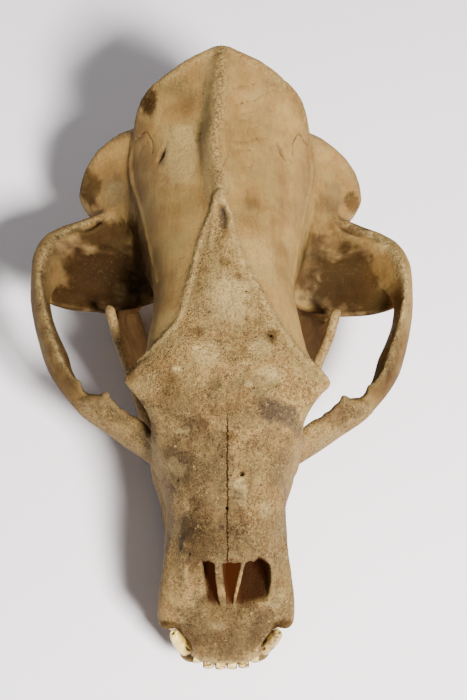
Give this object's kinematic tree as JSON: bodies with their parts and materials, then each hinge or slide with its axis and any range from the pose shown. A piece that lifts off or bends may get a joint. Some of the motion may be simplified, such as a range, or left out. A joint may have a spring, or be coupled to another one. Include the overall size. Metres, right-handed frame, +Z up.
{
  "type": "bear skull",
  "caption": "Dry skull of a large adult male bear: long crested cranium with wide cheek arches, closed lower jaw and worn teeth, lying on its jaw.",
  "frame": {"origin": "on the resting surface, below the middle of the skull's bounding box", "axes": "+Z up, -Y towards the snout, +Y towards the back of the head, +X towards the left side of the animal"},
  "size_m": [0.2824, 0.4244, 0.2],
  "materials": {
    "cranium": "dry aged bone, tan to brown, finely pored, satin on the smooth case",
    "mandible": "dry aged bone, tan to brown, satin",
    "upper_incisor_1_left": "worn cream enamel, half gloss, stained at the neck",
    "upper_incisor_1_right": "worn cream enamel, half gloss, stained at the neck",
    "upper_incisor_2_left": "worn cream enamel, half gloss, stained at the neck",
    "upper_incisor_2_right": "worn cream enamel, half gloss, stained at the neck",
    "upper_incisor_3_left": "worn cream enamel, half gloss, stained at the neck",
    "upper_incisor_3_right": "worn cream enamel, half gloss, stained at the neck",
    "upper_canine_left": "worn cream enamel, half gloss, stained at the neck",
    "upper_canine_right": "worn cream enamel, half gloss, stained at the neck",
    "upper_premolar_1_left": "worn cream enamel, half gloss, stained at the neck",
    "upper_premolar_1_right": "worn cream enamel, half gloss, stained at the neck",
    "upper_premolar_4_left": "worn cream enamel, half gloss, stained at the neck",
    "upper_premolar_4_right": "worn cream enamel, half gloss, stained at the neck",
    "upper_molar_1_left": "worn cream enamel, half gloss, stained at the neck",
    "upper_molar_1_right": "worn cream enamel, half gloss, stained at the neck",
    "upper_molar_2_left": "worn cream enamel, half gloss, stained at the neck",
    "upper_molar_2_right": "worn cream enamel, half gloss, stained at the neck",
    "lower_incisor_1_left": "worn cream enamel, half gloss, stained at the neck",
    "lower_incisor_1_right": "worn cream enamel, half gloss, stained at the neck",
    "lower_incisor_2_left": "worn cream enamel, half gloss, stained at the neck",
    "lower_incisor_2_right": "worn cream enamel, half gloss, stained at the neck",
    "lower_incisor_3_left": "worn cream enamel, half gloss, stained at the neck",
    "lower_incisor_3_right": "worn cream enamel, half gloss, stained at the neck",
    "lower_canine_left": "worn cream enamel, half gloss, stained at the neck",
    "lower_canine_right": "worn cream enamel, half gloss, stained at the neck",
    "lower_premolar_1_left": "worn cream enamel, half gloss, stained at the neck",
    "lower_premolar_1_right": "worn cream enamel, half gloss, stained at the neck",
    "lower_premolar_4_left": "worn cream enamel, half gloss, stained at the neck",
    "lower_premolar_4_right": "worn cream enamel, half gloss, stained at the neck",
    "lower_molar_1_left": "worn cream enamel, half gloss, stained at the neck",
    "lower_molar_1_right": "worn cream enamel, half gloss, stained at the neck",
    "lower_molar_2_left": "worn cream enamel, half gloss, stained at the neck",
    "lower_molar_2_right": "worn cream enamel, half gloss, stained at the neck",
    "lower_molar_3_left": "worn cream enamel, half gloss, stained at the neck",
    "lower_molar_3_right": "worn cream enamel, half gloss, stained at the neck"
  },
  "bodies": {
    "root": {"cranium": "cranium", "mandible": "mandible", "upper_incisor_1_left": "upper_incisor_1_left", "upper_incisor_1_right": "upper_incisor_1_right", "upper_incisor_2_left": "upper_incisor_2_left", "upper_incisor_2_right": "upper_incisor_2_right", "upper_incisor_3_left": "upper_incisor_3_left", "upper_incisor_3_right": "upper_incisor_3_right", "upper_canine_left": "upper_canine_left", "upper_canine_right": "upper_canine_right", "upper_premolar_1_left": "upper_premolar_1_left", "upper_premolar_1_right": "upper_premolar_1_right", "upper_premolar_4_left": "upper_premolar_4_left", "upper_premolar_4_right": "upper_premolar_4_right", "upper_molar_1_left": "upper_molar_1_left", "upper_molar_1_right": "upper_molar_1_right", "upper_molar_2_left": "upper_molar_2_left", "upper_molar_2_right": "upper_molar_2_right", "lower_incisor_1_left": "lower_incisor_1_left", "lower_incisor_1_right": "lower_incisor_1_right", "lower_incisor_2_left": "lower_incisor_2_left", "lower_incisor_2_right": "lower_incisor_2_right", "lower_incisor_3_left": "lower_incisor_3_left", "lower_incisor_3_right": "lower_incisor_3_right", "lower_canine_left": "lower_canine_left", "lower_canine_right": "lower_canine_right", "lower_premolar_1_left": "lower_premolar_1_left", "lower_premolar_1_right": "lower_premolar_1_right", "lower_premolar_4_left": "lower_premolar_4_left", "lower_premolar_4_right": "lower_premolar_4_right", "lower_molar_1_left": "lower_molar_1_left", "lower_molar_1_right": "lower_molar_1_right", "lower_molar_2_left": "lower_molar_2_left", "lower_molar_2_right": "lower_molar_2_right", "lower_molar_3_left": "lower_molar_3_left", "lower_molar_3_right": "lower_molar_3_right"}
  },
  "joints": []
}
